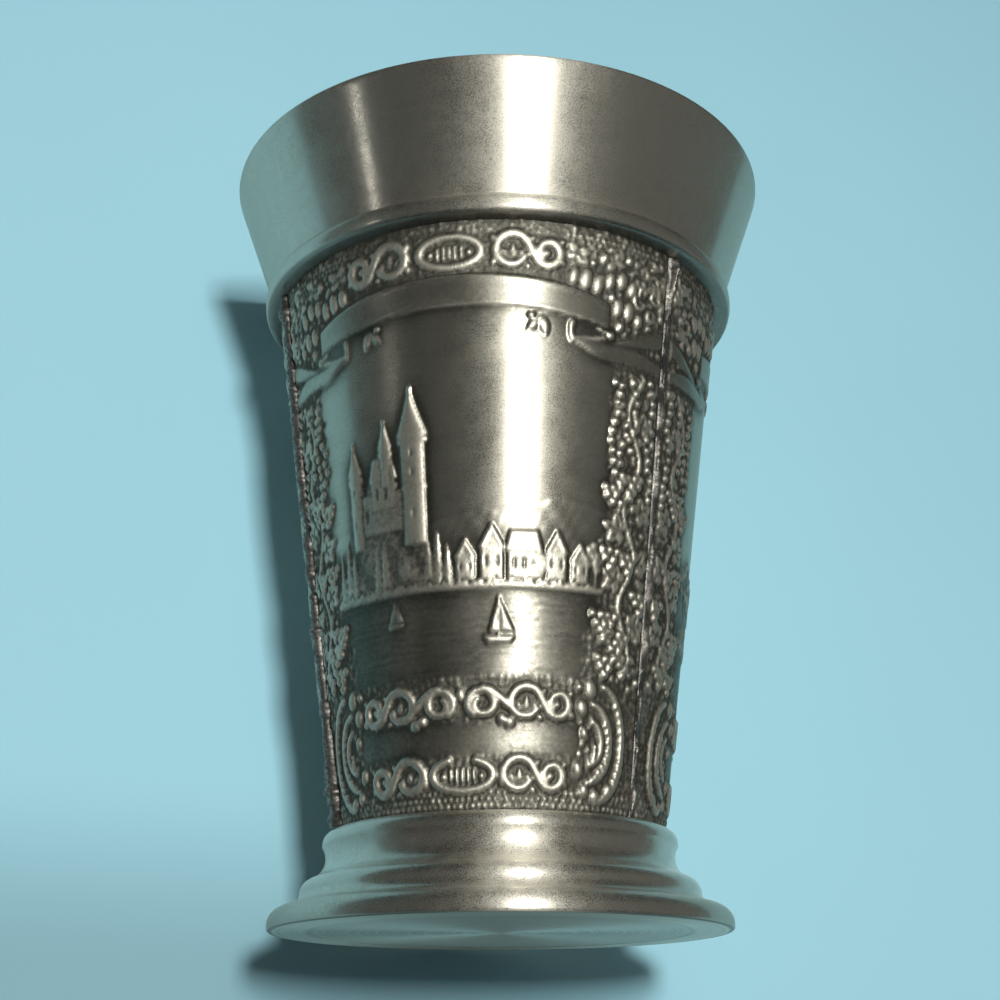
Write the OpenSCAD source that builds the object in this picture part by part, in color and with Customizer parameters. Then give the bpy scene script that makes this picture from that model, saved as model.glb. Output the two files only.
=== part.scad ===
// Pewter shot cup: three cast relief panels soldered into a tapered band,
// held between a turned, flared rim collar and a turned, moulded foot.
// Millimetres, +Z up, origin at the centre of the foot's underside.
// The front of the cup faces -Y.

/* [Cup] */
// Overall height
cup_h = 60; // [54:0.5:76]
// Thickness of the cast band, without its relief
wall_t = 1.2; // [0.9:0.1:1.6]
// Gap that the solder fills between two pieces
solder_gap = 0.05; // [0.02:0.01:0.1]
// Length of the tenons that enter the collar and the foot
tenon_l = 1.6; // [1.0:0.1:2.2]

/* [Rim collar] */
// Height of the collar, from the bead's underside to the lip
collar_h = 11.4; // [9.5:0.1:15]
// Outer diameter at the lip
lip_d = 43.7; // [40:0.1:53]
// Thickness at the lip
lip_t = 0.9; // [0.7:0.1:1.2]
// Radius of the lip's two edges
lip_round = 0.25; // [0.1:0.05:0.35]
// Outer diameter at the foot of the flare
flare_d = 37.2; // [36.6:0.1:37.8]
// Largest diameter of the half-round bead
bead_d = 38.3; // [37.9:0.1:39]
// Height of the half-round bead
bead_h = 1.8; // [1.5:0.1:2.2]

/* [Relief band] */
// Ground diameter under the collar
band_top_d = 35.5; // [34.9:0.1:36]
// Ground diameter on the foot
band_bottom_d = 24.2; // [20:0.1:24.4]
// Angle by which the front panel's middle is turned from the front
panel_turn = -9; // [-30:1:30]
// Height of the ribbon, the fruit and the berries above the ground
ribbon_h = 0.45; // [0.3:0.05:0.6]
// Height of the scrolls and leaves above the ground
scroll_h = 0.35; // [0.2:0.05:0.5]
// Height of the bare name plate above the ground
plate_h = 0.12; // [0.05:0.01:0.3]

/* [Solder seams] */
// Angle between two panels, filled by the seam
seam_angle = 2.4; // [1.6:0.1:3]
// Diameter of the half-round seam bead
seam_d = 0.9; // [0.7:0.05:1.2]
// Diameter of the drop at the seam's lower end
seam_drop_d = 1.5; // [1.2:0.1:1.8]

/* [Foot] */
// Height of the foot
foot_h = 7; // [6.6:0.1:8]
// Diameter of the foot's top moulding
drum_d = 26.1; // [25.7:0.1:27]
// Diameter of the neck under the top moulding
neck_d = 25.6; // [25.2:0.1:25.7]
// Height of the neck's narrowest place
neck_z = 5.1; // [4.8:0.05:5.4]
// Diameter of the middle step
step_d = 29.2; // [28.6:0.1:30]
// Height of the middle step
step_h = 3.6; // [3.4:0.05:3.8]
// Diameter of the base
base_d = 33.7; // [31.8:0.1:41]
// Height of the base flange
flange_h = 1.65; // [1.5:0.05:1.9]

/* [Floor] */
// Diameter of the floor disc let into the foot
disc_d = 28; // [24:0.1:28.6]
// Thickness of the floor disc
disc_t = 1.3; // [1:0.1:1.5]
// Height of the disc's underside above the standing ring
disc_lift = 0.1; // [0.05:0.05:0.3]

/* [Hidden] */
$fn = 96;

// Shared heights
collar_z = cup_h - collar_h;
panel_top = collar_z + tenon_l;
panel_bottom = foot_h - tenon_l;
floor_z = disc_lift + disc_t;

// Taper of the band's ground surface and of the bore inside it
band_slope = (band_top_d - band_bottom_d) / 2 / (collar_z - foot_h);
band_tilt = atan(band_slope);
function ground_r(z) = band_bottom_d / 2 + band_slope * (z - foot_h);
function bore_r(z) = ground_r(z) - wall_t;

// Tenon and socket radii; the rim tenon keeps a share of the band's thickness
rim_tenon_share = 0.4;
rim_tenon_r = bore_r(panel_top) + rim_tenon_share * wall_t;
foot_tenon_r = ground_r(foot_h);

// Panels and seams share the full turn
panel_count = 3;
panel_pitch = 360 / panel_count;
panel_angle = panel_pitch - seam_angle;
seam_root_h = seam_d / 4;

// Ribbon: height of its lower edge, its own arch, width and half length
ribbon_drop = 6.5;
ribbon_z = collar_z - ribbon_drop;
ribbon_arc_r = 48;
ribbon_w = 2.4;
ribbon_half = 11;

// Swallow tails beside the ribbon, and a bud under each half of it
tail_turn = 44;
tail_z = ribbon_z - 1.9;
tail_l = 8;
tail_w = 1.4;
tail_end_w = 3;
tail_notch = 1.6;
bud_turn = 22;
bud_z = ribbon_z - 1.4;
bud_r = 0.7;

// Hanging fruit in the upper corners of a panel: angle and drop below the collar
fruit = [[31, 3], [35, 4.6], [39, 2.6], [43, 4.4], [47, 2.8], [51, 4.6]];
fruit_r = 0.65;

// Bare name plate near the foot, framed by arcs
plate_rise = 4.5;
plate_z = foot_h + plate_rise;
plate_l = 14.4;
plate_w = 2.2;
side_arc_turn = 37;
side_arc_radii = [1.4, 2.4, 3.5];

// Rows of scrolls: below and above the plate, and under the collar beside an oval
scroll_gap = 2.4;
scroll_row_z = [plate_z - scroll_gap, plate_z + scroll_gap, collar_z - scroll_gap];
scroll_count = 3;
scroll_pitch = 10.5;
scroll_r = 0.85;
scroll_w = 0.5;
scroll_ball_r = 0.35;
oval_l = 2.4;
oval_r = 1;

// Vines up both sides of the picture field
vine_count = 10;
vine_gap = 5.5;
vine_low = plate_z + vine_gap;
vine_high = tail_z - ribbon_w;
vine_leaf_l = 2.6;
vine_leaf_w = 1.3;
vine_middle = 50;
vine_sway = 3;
vine_tilt = 60;
berry_r = 0.5;
function vine_z(place) = vine_low + (vine_high - vine_low) * place / (vine_count - 1);
function vine_turn(place) = vine_middle + vine_sway * cos(180 * place);
function vine_lean(place) = vine_tilt * cos(180 * place);

// Rounds of the foot's mouldings; the drum keeps a ledge around the band
drum_ledge = 0.15;
drum_full_round = 0.8;
drum_round = min(drum_full_round, drum_d / 2 - foot_tenon_r - drum_ledge);
step_round = 1;
flange_round = 1.2;
foot_edge_round = 0.25;

// Centres of the two convex rounds that the coves run into
step_centre = [step_d / 2 - step_round, step_h - step_round];
flange_centre = [base_d / 2 - flange_round, flange_h - flange_round];

// Cove that touches a round below it and the upright line x = side at the height z
function cove_radius(side, z, centre, round) =
  let (across = side - centre[0], rise = z - centre[1])
  (across * across + rise * rise - round * round) / (2 * (round - across));

pewter = [0.60, 0.58, 0.53];
antique = [0.42, 0.40, 0.35];
solder = [0.50, 0.46, 0.42];

// Half section of the collar: flared wall, lip with rounded edges, half-round bead
module collar_section() {
  lip_r = lip_d / 2;
  lip_z = cup_h - lip_round;
  bead_round = bead_h / 2;
  bead_r = bead_d / 2 - bead_round;
  socket_r = rim_tenon_r + solder_gap;
  polygon([
    [socket_r, collar_z],
    [bead_r, collar_z],
    [flare_d / 2, collar_z + bead_h],
    [lip_r, lip_z],
    [lip_r - lip_round, cup_h],
    [lip_r - lip_t + lip_round, cup_h],
    [lip_r - lip_t, lip_z],
    [bore_r(panel_top), panel_top],
    [socket_r, panel_top]
  ]);
  for (edge_r = [lip_r - lip_round, lip_r - lip_t + lip_round])
    translate([edge_r, lip_z]) circle(r = lip_round);
  translate([bead_r, collar_z + bead_round]) circle(r = bead_round);
}

module rim_collar() {
  color(pewter) rotate_extrude() collar_section();
}

// Half section of the cast band, with a tenon at each end
module band_section() {
  polygon([
    [bore_r(panel_bottom), panel_bottom],
    [foot_tenon_r, panel_bottom],
    [foot_tenon_r, foot_h],
    [ground_r(collar_z), collar_z],
    [rim_tenon_r, collar_z],
    [rim_tenon_r, panel_top],
    [bore_r(panel_top), panel_top]
  ]);
}

// Revolves a half section through an angle that is centred on the front
module front_sector(angle) {
  rotate([0, 0, -90 - angle / 2]) rotate_extrude(angle = angle) children();
}

// Half section of a skin from just under the ground to a height above it
module skin_section(height) {
  root = wall_t / 4;
  low = foot_h + solder_gap;
  high = collar_z - solder_gap;
  polygon([
    [ground_r(low) - root, low],
    [ground_r(low) + height, low],
    [ground_r(high) + height, high],
    [ground_r(high) - root, high]
  ]);
}

// Places flat work on the band: x round the cup, y up the wall, z outward
module on_wall(turn, z) {
  rotate([0, 0, turn])
    translate([0, -ground_r(z), z])
      rotate([90 + band_tilt, 0, 0])
        children();
}

// Prism of an outline, long enough to pass through the curved skin
module through_wall(turn, z) {
  reach = band_bottom_d / 2;
  on_wall(turn, z) translate([0, 0, -reach / 2]) linear_extrude(reach) children();
}

// Mirrors work that is drawn for the right side when the side is -1
module for_side(side) {
  mirror([side < 0 ? 1 : 0, 0]) children();
}

// Arched ribbon across the top of the picture field
module ribbon_band() {
  translate([0, -ribbon_arc_r]) intersection() {
    difference() {
      circle(r = ribbon_arc_r + ribbon_w);
      circle(r = ribbon_arc_r);
    }
    translate([-ribbon_half, 0]) square([2 * ribbon_half, 2 * ribbon_arc_r]);
  }
}

// Swallow-tailed end of the ribbon, drawn for the right side
module ribbon_tail() {
  polygon([
    [-tail_l / 2, -tail_w / 2],
    [tail_l / 2, -tail_end_w / 2],
    [tail_l / 2 - tail_notch, 0],
    [tail_l / 2, tail_end_w / 2],
    [-tail_l / 2, tail_w / 2]
  ]);
}

// Half ring with a ball at each end, open towards -x
module c_scroll(radius) {
  reach = 2 * radius;
  difference() {
    circle(r = radius + scroll_w / 2);
    circle(r = radius - scroll_w / 2);
    translate([-reach, -reach]) square([reach, 2 * reach]);
  }
  for (side = [-1, 1])
    translate([0, side * radius]) circle(r = scroll_ball_r);
}

// Oval outline with straight long sides
module oval(length, radius) {
  square([length, 2 * radius], center = true);
  for (side = [-1, 1])
    translate([side * length / 2, 0]) circle(r = radius);
}

// Pointed leaf along x, between two arcs
module leaf(length, width) {
  arc_r = (length * length + width * width) / (4 * width);
  intersection() {
    translate([0, arc_r - width / 2]) circle(r = arc_r);
    translate([0, width / 2 - arc_r]) circle(r = arc_r);
  }
}

// Everything on a panel that stands as high as the ribbon
module high_work() {
  through_wall(0, ribbon_z) ribbon_band();
  for (side = [-1, 1]) {
    through_wall(side * bud_turn, bud_z) circle(r = bud_r);
    for (place = fruit)
      through_wall(side * place[0], collar_z - place[1]) circle(r = fruit_r);
    for (place = [0.5 : vine_count - 1.5])
      through_wall(side * vine_turn(place), vine_z(place)) circle(r = berry_r);
  }
}

// Everything on a panel that stands as high as the scrolls
module scroll_work() {
  for (row_z = [plate_z - scroll_gap, collar_z - scroll_gap])
    through_wall(0, row_z) difference() {
      oval(oval_l, oval_r);
      oval(oval_l, oval_r - scroll_w);
    }
  for (side = [-1, 1]) {
    through_wall(side * tail_turn, tail_z) for_side(side) ribbon_tail();
    for (radius = side_arc_radii)
      through_wall(side * side_arc_turn, plate_z) for_side(side) c_scroll(radius);
    for (row_z = scroll_row_z)
      for (place = [1 : scroll_count])
        through_wall(side * place * scroll_pitch, row_z)
          rotate(90 * cos(180 * place)) c_scroll(scroll_r);
    for (place = [0 : vine_count - 1])
      through_wall(side * vine_turn(place), vine_z(place))
        rotate(side * vine_lean(place)) leaf(vine_leaf_l, vine_leaf_w);
  }
}

module relief_panel(turn) {
  relief_angle = panel_angle - seam_angle;
  color(antique)
    rotate([0, 0, turn]) {
      front_sector(panel_angle) band_section();
      intersection() {
        front_sector(relief_angle) skin_section(plate_h);
        through_wall(0, plate_z) square([plate_l, plate_w], center = true);
      }
      intersection() {
        front_sector(relief_angle) skin_section(ribbon_h);
        high_work();
      }
      intersection() {
        front_sector(relief_angle) skin_section(scroll_h);
        scroll_work();
      }
    }
}

module relief_panel_front() {
  relief_panel(panel_turn);
}

module relief_panel_right() {
  relief_panel(panel_turn + panel_pitch);
}

module relief_panel_left() {
  relief_panel(panel_turn - panel_pitch);
}

// Solid inside the band's ground, with the solder gap added
module band_core() {
  low = foot_h - seam_drop_d;
  high = collar_z + seam_drop_d;
  translate([0, 0, low])
    cylinder(r1 = ground_r(low) + solder_gap, r2 = ground_r(high) + solder_gap, h = high - low);
}

// Half-round bead along the joint, ending in a drop on the foot
module seam_bead() {
  low = foot_h + solder_gap;
  high = collar_z - solder_gap;
  length = (high - low) / cos(band_tilt);
  drop_z = low + seam_drop_d / 3;
  intersection() {
    difference() {
      union() {
        on_wall(0, low) rotate([-90, 0, 0]) translate([0, 0, -seam_d])
          cylinder(d = seam_d, h = length + 2 * seam_d);
        on_wall(0, drop_z) sphere(d = seam_drop_d);
      }
      band_core();
    }
    translate([0, 0, low]) cylinder(r = lip_d, h = high - low);
  }
}

module solder_seam(turn) {
  color(solder)
    rotate([0, 0, turn]) {
      front_sector(seam_angle) {
        band_section();
        skin_section(seam_root_h);
      }
      seam_bead();
    }
}

module seam_left() {
  solder_seam(panel_turn - panel_pitch / 2);
}

module seam_right() {
  solder_seam(panel_turn + panel_pitch / 2);
}

module seam_back() {
  solder_seam(panel_turn + panel_pitch + panel_pitch / 2);
}

// Corner waste outside a round, with its centre at the origin
module round_waste(round) {
  difference() {
    square(2 * round);
    circle(r = round);
  }
}

// Half section of one turned tier, with its upper edge rounded
module tier(radius, height, top_round) {
  difference() {
    square([radius, height]);
    translate([radius - top_round, height - top_round]) round_waste(top_round);
  }
}

// Fills the corner above a round's centre up to a cove with its own centre
module cove_fill(round_centre, cove_centre, cove_round) {
  difference() {
    polygon([
      [0, round_centre[1]],
      round_centre,
      cove_centre,
      [0, cove_centre[1]]
    ]);
    translate(cove_centre) circle(r = cove_round);
  }
}

// Space inside the foot: disc seat, bore and the band's socket
module foot_hollow() {
  past = 1;
  seat_r = disc_d / 2 + solder_gap;
  socket_r = foot_tenon_r + solder_gap;
  polygon([
    [0, -past],
    [seat_r, -past],
    [seat_r, floor_z],
    [bore_r(floor_z), floor_z],
    [bore_r(panel_bottom), panel_bottom],
    [socket_r, panel_bottom],
    [socket_r, foot_h + past],
    [0, foot_h + past]
  ]);
}

// Half section of the foot: drum, cove, step, lower cove and flange in one flowing line
module foot_section() {
  cove_round = cove_radius(neck_d / 2, neck_z, step_centre, step_round);
  cove_centre = [neck_d / 2 + cove_round, neck_z];
  lower_round = cove_radius(step_d / 2, step_centre[1], flange_centre, flange_round);
  lower_centre = [step_d / 2 + lower_round, step_centre[1]];
  difference() {
    union() {
      difference() {
        tier(drum_d / 2, foot_h, drum_round);
        translate(cove_centre) circle(r = cove_round);
      }
      tier(step_d / 2, step_h, step_round);
      tier(base_d / 2, flange_h, flange_round);
      cove_fill(step_centre, cove_centre, cove_round);
      cove_fill(flange_centre, lower_centre, lower_round);
    }
    translate([base_d / 2 - foot_edge_round, foot_edge_round])
      mirror([0, 1]) round_waste(foot_edge_round);
    foot_hollow();
  }
}

module foot_ring() {
  color(pewter) rotate_extrude() foot_section();
}

module base_disc() {
  color(pewter) translate([0, 0, disc_lift]) cylinder(d = disc_d, h = disc_t);
}

rim_collar();
relief_panel_front();
relief_panel_right();
relief_panel_left();
seam_left();
seam_right();
seam_back();
foot_ring();
base_disc();
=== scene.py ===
"""Pewter shot cup: carved relief, metal finishes, stage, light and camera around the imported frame."""
from math import acos, atan2, cos, degrees, hypot, pi, radians, sin, sqrt

import bpy
import numpy as np
from mathutils import Matrix, Vector


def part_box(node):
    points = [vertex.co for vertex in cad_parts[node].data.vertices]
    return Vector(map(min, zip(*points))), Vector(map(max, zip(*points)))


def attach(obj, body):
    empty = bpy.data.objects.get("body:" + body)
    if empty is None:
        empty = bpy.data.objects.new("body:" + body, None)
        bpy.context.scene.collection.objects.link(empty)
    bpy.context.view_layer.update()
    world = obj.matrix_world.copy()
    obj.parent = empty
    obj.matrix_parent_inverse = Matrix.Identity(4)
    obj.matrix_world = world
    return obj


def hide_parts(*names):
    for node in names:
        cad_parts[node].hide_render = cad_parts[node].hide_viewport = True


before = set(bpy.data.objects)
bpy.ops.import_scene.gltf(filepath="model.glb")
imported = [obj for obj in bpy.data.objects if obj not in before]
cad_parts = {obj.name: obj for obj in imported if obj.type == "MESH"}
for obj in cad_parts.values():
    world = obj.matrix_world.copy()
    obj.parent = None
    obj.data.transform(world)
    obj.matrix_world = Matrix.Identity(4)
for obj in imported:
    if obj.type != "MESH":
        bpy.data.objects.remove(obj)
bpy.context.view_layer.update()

# Sizes, in millimetres, from the frame's boxes
MM = 0.001


def node_box(node):
    """Lowest and highest corner of a CAD node, in millimetres."""
    low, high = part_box(node)
    return low / MM, high / MM


RIM_LOW, RIM_HIGH = node_box("rim_collar")
PANEL_LOW, PANEL_HIGH = node_box("relief_panel_front")
FOOT_HIGH, DISC_HIGH = node_box("foot_ring")[1], node_box("base_disc")[1]
LIP_R, CUP_H, COLLAR_Z = RIM_HIGH.x, RIM_HIGH.z, RIM_LOW.z
BASE_R, FOOT_H = FOOT_HIGH.x, FOOT_HIGH.z
DISC_R, FLOOR_Z = DISC_HIGH.x, DISC_HIGH.z
PANEL_BOTTOM, PANEL_TOP = PANEL_LOW.z, PANEL_HIGH.z

# Sizes that the boxes don't show, as the construction has them
WALL_T = 1.2
SOLDER_GAP = 0.05
LIP_T, LIP_ROUND = 0.9, 0.25
FLARE_R = 18.6
BEAD_R, BEAD_H = 19.15, 1.8
# Below 1, the bead's lower half is fuller than a quarter round
BEAD_POWER = 0.6
BAND_TOP_R, BAND_BOTTOM_R = 17.75, 12.1
DRUM_R, DRUM_ROUND = 13.05, 0.8
NECK_R, NECK_Z = 12.8, 5.1
STEP_R, STEP_H, STEP_ROUND = 14.6, 3.6, 1.0
FLANGE_H, FLANGE_ROUND, FOOT_EDGE = 1.65, 1.2, 0.25
PANEL_TURN, PANEL_PITCH, SEAM_ANGLE = -9.0, 120.0, 2.4
PANEL_HALF = (PANEL_PITCH - SEAM_ANGLE) / 2
BAND_SLOPE = (BAND_TOP_R - BAND_BOTTOM_R) / (COLLAR_Z - FOOT_H)


def ground_r(z):
    """Radius of the relief band's ground at a height."""
    return BAND_BOTTOM_R + BAND_SLOPE * (z - FOOT_H)


def bore_r(z):
    """Radius of the bore at a height."""
    return ground_r(z) - WALL_T


RIM_TENON_R = bore_r(PANEL_TOP) + 0.4 * WALL_T
FOOT_TENON_R = BAND_BOTTOM_R


# Node materials
class Wire:
    """Output of a shader node; sums and products with wires or numbers become math nodes."""

    def __init__(self, socket):
        self.socket, self.tree = socket, socket.id_data

    def math(self, operation, first, second):
        """Result of a math node."""
        return wire(self.tree, "ShaderNodeMath", 0, {0: first, 1: second}, operation=operation)

    def __add__(self, other):
        return self.math("ADD", self, other)

    def __mul__(self, other):
        return self.math("MULTIPLY", self, other)

    def __rsub__(self, other):
        return self.math("SUBTRACT", other, self)

    def most(self, other):
        """The larger of two values."""
        return self.math("MAXIMUM", self, other)

    def ramp(self, low, high, start=0.0, end=1.0):
        """Value mapped smoothly from low..high to start..end."""
        return wire(self.tree, "ShaderNodeMapRange", "Result", {
            "Value": self, "From Min": low, "From Max": high, "To Min": start, "To Max": end},
            interpolation_type="SMOOTHSTEP")


def add_node(tree, kind, inputs=None, **settings):
    """Adds a shader node; an input is a number, a tuple or a wire."""
    node = tree.nodes.new(kind)
    for name, value in settings.items():
        setattr(node, name, value)
    for name, value in (inputs or {}).items():
        if isinstance(value, Wire):
            tree.links.new(value.socket, node.inputs[name])
        else:
            node.inputs[name].default_value = value
    return node


def wire(tree, kind, output, inputs=None, **settings):
    """Adds a shader node and gives one of its outputs."""
    return Wire(add_node(tree, kind, inputs, **settings).outputs[output])


def empty_tree(owner):
    """Cleared node tree of a material or a world."""
    owner.use_nodes = True
    owner.node_tree.nodes.clear()
    return owner.node_tree


def new_material(name):
    """A material, its empty tree, and the object's coordinates in millimetres."""
    material = bpy.data.materials.new(name)
    tree = empty_tree(material)
    place = wire(tree, "ShaderNodeTexCoord", "Object")
    point = wire(tree, "ShaderNodeVectorMath", 0, {0: place, "Scale": 1 / MM}, operation="SCALE")
    return material, tree, point


def attribute(tree, name):
    """Value that the mesh carries at each point."""
    return wire(tree, "ShaderNodeAttribute", "Fac", attribute_name=name)


def noise(vector, scale, detail=3.0, roughness=0.5):
    """Noise at a vector in millimetres."""
    return wire(vector.tree, "ShaderNodeTexNoise", "Fac", {
        "Vector": vector, "Scale": scale, "Detail": detail, "Roughness": roughness})


def streaks(point, along):
    """Noise drawn out round the cup."""
    mapped = wire(point.tree, "ShaderNodeMapping", "Vector", {"Vector": point, "Scale": (along, along, 6.0)})
    return noise(mapped, 1.0, 3.0, 0.6)


def blend(factor, first, second):
    """Colour between two colours, each three parts or a wire."""
    first, second = (c if isinstance(c, Wire) else (*c, 1.0) for c in (first, second))
    return wire(factor.tree, "ShaderNodeMix", 2, {"Factor": factor, 6: first, 7: second}, data_type="RGBA")


def scaled(colour, share):
    """Colour made darker or lighter."""
    return tuple(share * c for c in colour)


def split(vector):
    """The three parts of a vector."""
    return [Wire(s) for s in add_node(vector.tree, "ShaderNodeSeparateXYZ", {"Vector": vector}).outputs]


def lathe(point):
    """Vector that is constant round the cup, and its parts: radius and height."""
    x, y, z = split(point)
    flat = wire(point.tree, "ShaderNodeCombineXYZ", "Vector", {"X": x, "Y": y})
    radius = wire(point.tree, "ShaderNodeVectorMath", "Value", {0: flat}, operation="LENGTH")
    return wire(point.tree, "ShaderNodeCombineXYZ", "Vector", {"X": radius, "Y": z}), radius, z


def metal(tree, colour, rough, height, bump, **more):
    """Metal shader; bump is the strength and the depth in millimetres of its height."""
    strength, depth = bump
    normal = wire(tree, "ShaderNodeBump", "Normal", {
        "Strength": strength, "Distance": depth * MM, "Height": height})
    shader = wire(tree, "ShaderNodeBsdfPrincipled", "BSDF", {
        "Base Color": colour, "Metallic": 1.0, "Roughness": rough, "Normal": normal, **more})
    add_node(tree, "ShaderNodeOutputMaterial", {"Surface": shader})


def brushed_round(tree, strength):
    """Shader inputs for highlights that are drawn out across tool marks round the cup."""
    tangent = wire(tree, "ShaderNodeTangent", "Tangent", direction_type="RADIAL", axis="Z")
    return {"Anisotropic": strength, "Anisotropic Rotation": 0.25, "Tangent": tangent}


# Roughness of the glossy and of the hazy grains, and grains per millimetre
GLOSS_ROUGH, HAZE_ROUGH, GRIT = 0.21, 0.62, 26.0
CAST_ROUGH, SOOT_ROUGH = 0.5, 0.62
# Share of light that the oxide film leaves at a grazing view
EDGE_TINT, CLEAN_TINT = (0.66, 0.67, 0.64), (1.0, 1.0, 1.0)


def turned_metal(name, light, dark):
    """Lathe-turned pewter: glossy and hazy grains side by side, smudges, coarser underside, and painted shade
    in the crease under the collar's bead.
    """
    material, tree, point = new_material(name)
    rings, radius, z = lathe(point)
    under = z.ramp(0.12, 0.04)
    rim = under * radius.ramp(BASE_R - 0.5, BASE_R - 0.3, 0.0, 0.7)
    # Painted shade: the collar's underside is darkened where it overhangs the band, under the bead
    painted_crease_shade = radius.ramp(BAND_TOP_R - 0.1, BAND_TOP_R) * z.ramp(COLLAR_Z + 0.3, COLLAR_Z + 0.05, 0.0, 0.7)
    foot = z.ramp(FLANGE_H, FLANGE_H + 0.8) * z.ramp(FOOT_H + 1.0, FOOT_H)
    fine, coarse = noise(rings, 40.0, 2.0), noise(rings, 3.4, 5.0, 0.75)
    grit, frost, smudge = noise(point, GRIT, 1.0), noise(point, 0.9), noise(point, 0.22, 6.0, 0.65)
    brushed = streaks(point, 0.14)
    # Dark streaks and an edge ring on the underside, together with the painted shade under the bead
    marks_and_crease_shade = painted_crease_shade.most((under * coarse.ramp(0.35, 0.65, 0.3, 0.0)).most(rim))
    colour = blend(smudge.ramp(0.35, 0.68) * 0.6 + brushed.ramp(0.3, 0.7, 0.0, 0.15), dark, light)
    colour = blend(under, colour, scaled(light, 1.25))
    colour = blend(marks_and_crease_shade, colour, scaled(dark, 0.2))
    haze = smudge * 0.22 + frost * 0.12
    rough = (grit + haze).ramp(0.58, 0.76, GLOSS_ROUGH, HAZE_ROUGH).most(under * 0.66)
    height = fine * 0.04 + brushed * 0.03 + under * (coarse * 1.5)
    tint = blend(under.most(foot), EDGE_TINT, CLEAN_TINT)
    metal(tree, colour, rough, height, (0.3, 0.02), **{"Specular Tint": tint}, **brushed_round(tree, 0.8))
    return material


def cast_metal(name, light, dark):
    """Cast pewter: blackened recesses, punched ground, rubbed high points, brushed smooth field, and the
    painted shade that the mesh's values carry.
    """
    material, tree, point = new_material(name)
    wear, field = attribute(tree, "wear"), attribute(tree, "field")
    ground = 1.0 - field
    grain, cloud = noise(point, 3.2, 5.0, 0.65), noise(point, 0.35, 4.0, 0.6)
    brushed = streaks(point, 0.16)
    punched = wire(tree, "ShaderNodeTexVoronoi", "Distance", {"Vector": point, "Scale": 3.6})
    patina = grain.ramp(0.3, 0.7, -0.14, 0.14) * (ground + 0.25)
    streak = field * brushed.ramp(0.3, 0.7, -0.04, 0.02)
    # The mesh's values carry rubbed wear and patina, and also painted shade and a painted reflection from the
    # carving
    lightness = (wear + patina + cloud.ramp(0.3, 0.7, -0.06, 0.06) + streak).ramp(0.05, 1.0)
    gloss = field * (noise(point, GRIT, 1.0) + cloud * 0.3).ramp(0.72, 0.56)
    rough = lightness.ramp(0.0, 1.0, SOOT_ROUGH, CAST_ROUGH) + gloss * (GLOSS_ROUGH - CAST_ROUGH)
    lumps = ground * (grain + punched.ramp(0.0, 0.5, 0.9, 0.0))
    metal(tree, blend(lightness, dark, light), rough, lumps + field * (brushed * 0.03), (0.25, 0.03),
          **{"Specular Tint": (*EDGE_TINT, 1.0)}, **brushed_round(tree, field * 0.78))
    return material


def solder_metal(name, light, dark):
    """Rough raised solder: dull, pitted, with a faint warm tint."""
    material, tree, point = new_material(name)
    grain, cloud = noise(point, 4.5, 5.0, 0.7), noise(point, 0.9)
    # The mesh's values carry the rubbed crests and the painted shade of the seam's flanks
    tone = grain.ramp(0.32, 0.66) * cloud.ramp(0.25, 0.7, 0.5, 1.0) * attribute(tree, "wear")
    metal(tree, blend(tone, dark, light), grain.ramp(0.3, 0.7, 0.62, 0.46), grain, (0.5, 0.06))
    return material


TURNED = turned_metal("turned_pewter", (0.66, 0.635, 0.555), (0.60, 0.575, 0.50))
FLOOR_METAL = turned_metal("floor_pewter", (0.56, 0.535, 0.47), (0.44, 0.42, 0.37))
ANTIQUE = cast_metal("antique_pewter", (0.56, 0.535, 0.455), (0.10, 0.097, 0.08))
SOLDER = solder_metal("solder", (0.47, 0.45, 0.405), (0.09, 0.087, 0.08))


# Meshes: points round the turned rings and the disc, and rings of the disc
RING_STEPS, DISC_STEPS, DISC_RINGS = 288, 192, 12


def link(name, data):
    """Adds an object to the scene."""
    thing = bpy.data.objects.new(name, data)
    bpy.context.scene.collection.objects.link(thing)
    return thing


def make_piece(name, vertices, faces, uvs, material, slot, replaced, sharp_deg=35.0, values=None):
    """A closed mesh in millimetres that stands for a CAD node, with one UV pair per face corner."""
    mesh = bpy.data.meshes.new(name)
    mesh.from_pydata((np.asarray(vertices) * MM).tolist(), [], faces)
    layer = mesh.uv_layers.new(name="OFBake")
    layer.data.foreach_set("uv", np.asarray(uvs, dtype=np.float32).ravel())
    for key, data in (values or {}).items():
        layer = mesh.attributes.new(key, "FLOAT", "POINT")
        layer.data.foreach_set("value", np.asarray(data, dtype=np.float32))
    mesh.shade_smooth()
    mesh.set_sharp_from_angle(angle=radians(sharp_deg))
    mesh.materials.append(material)
    piece = link(name, mesh)
    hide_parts(replaced)
    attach(piece, "root")


def arc(centre, radius, start, end, steps, power=1.0):
    """Arc of a half section, in degrees from the radius direction; a low power squares it."""
    angles = np.radians(np.linspace(start, end, steps + 1))
    across, rise = (np.sign(p) * np.abs(p) ** power for p in (np.cos(angles), np.sin(angles)))
    return [(centre[0] + radius * x, centre[1] + radius * z) for x, z in zip(across, rise)]


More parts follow.
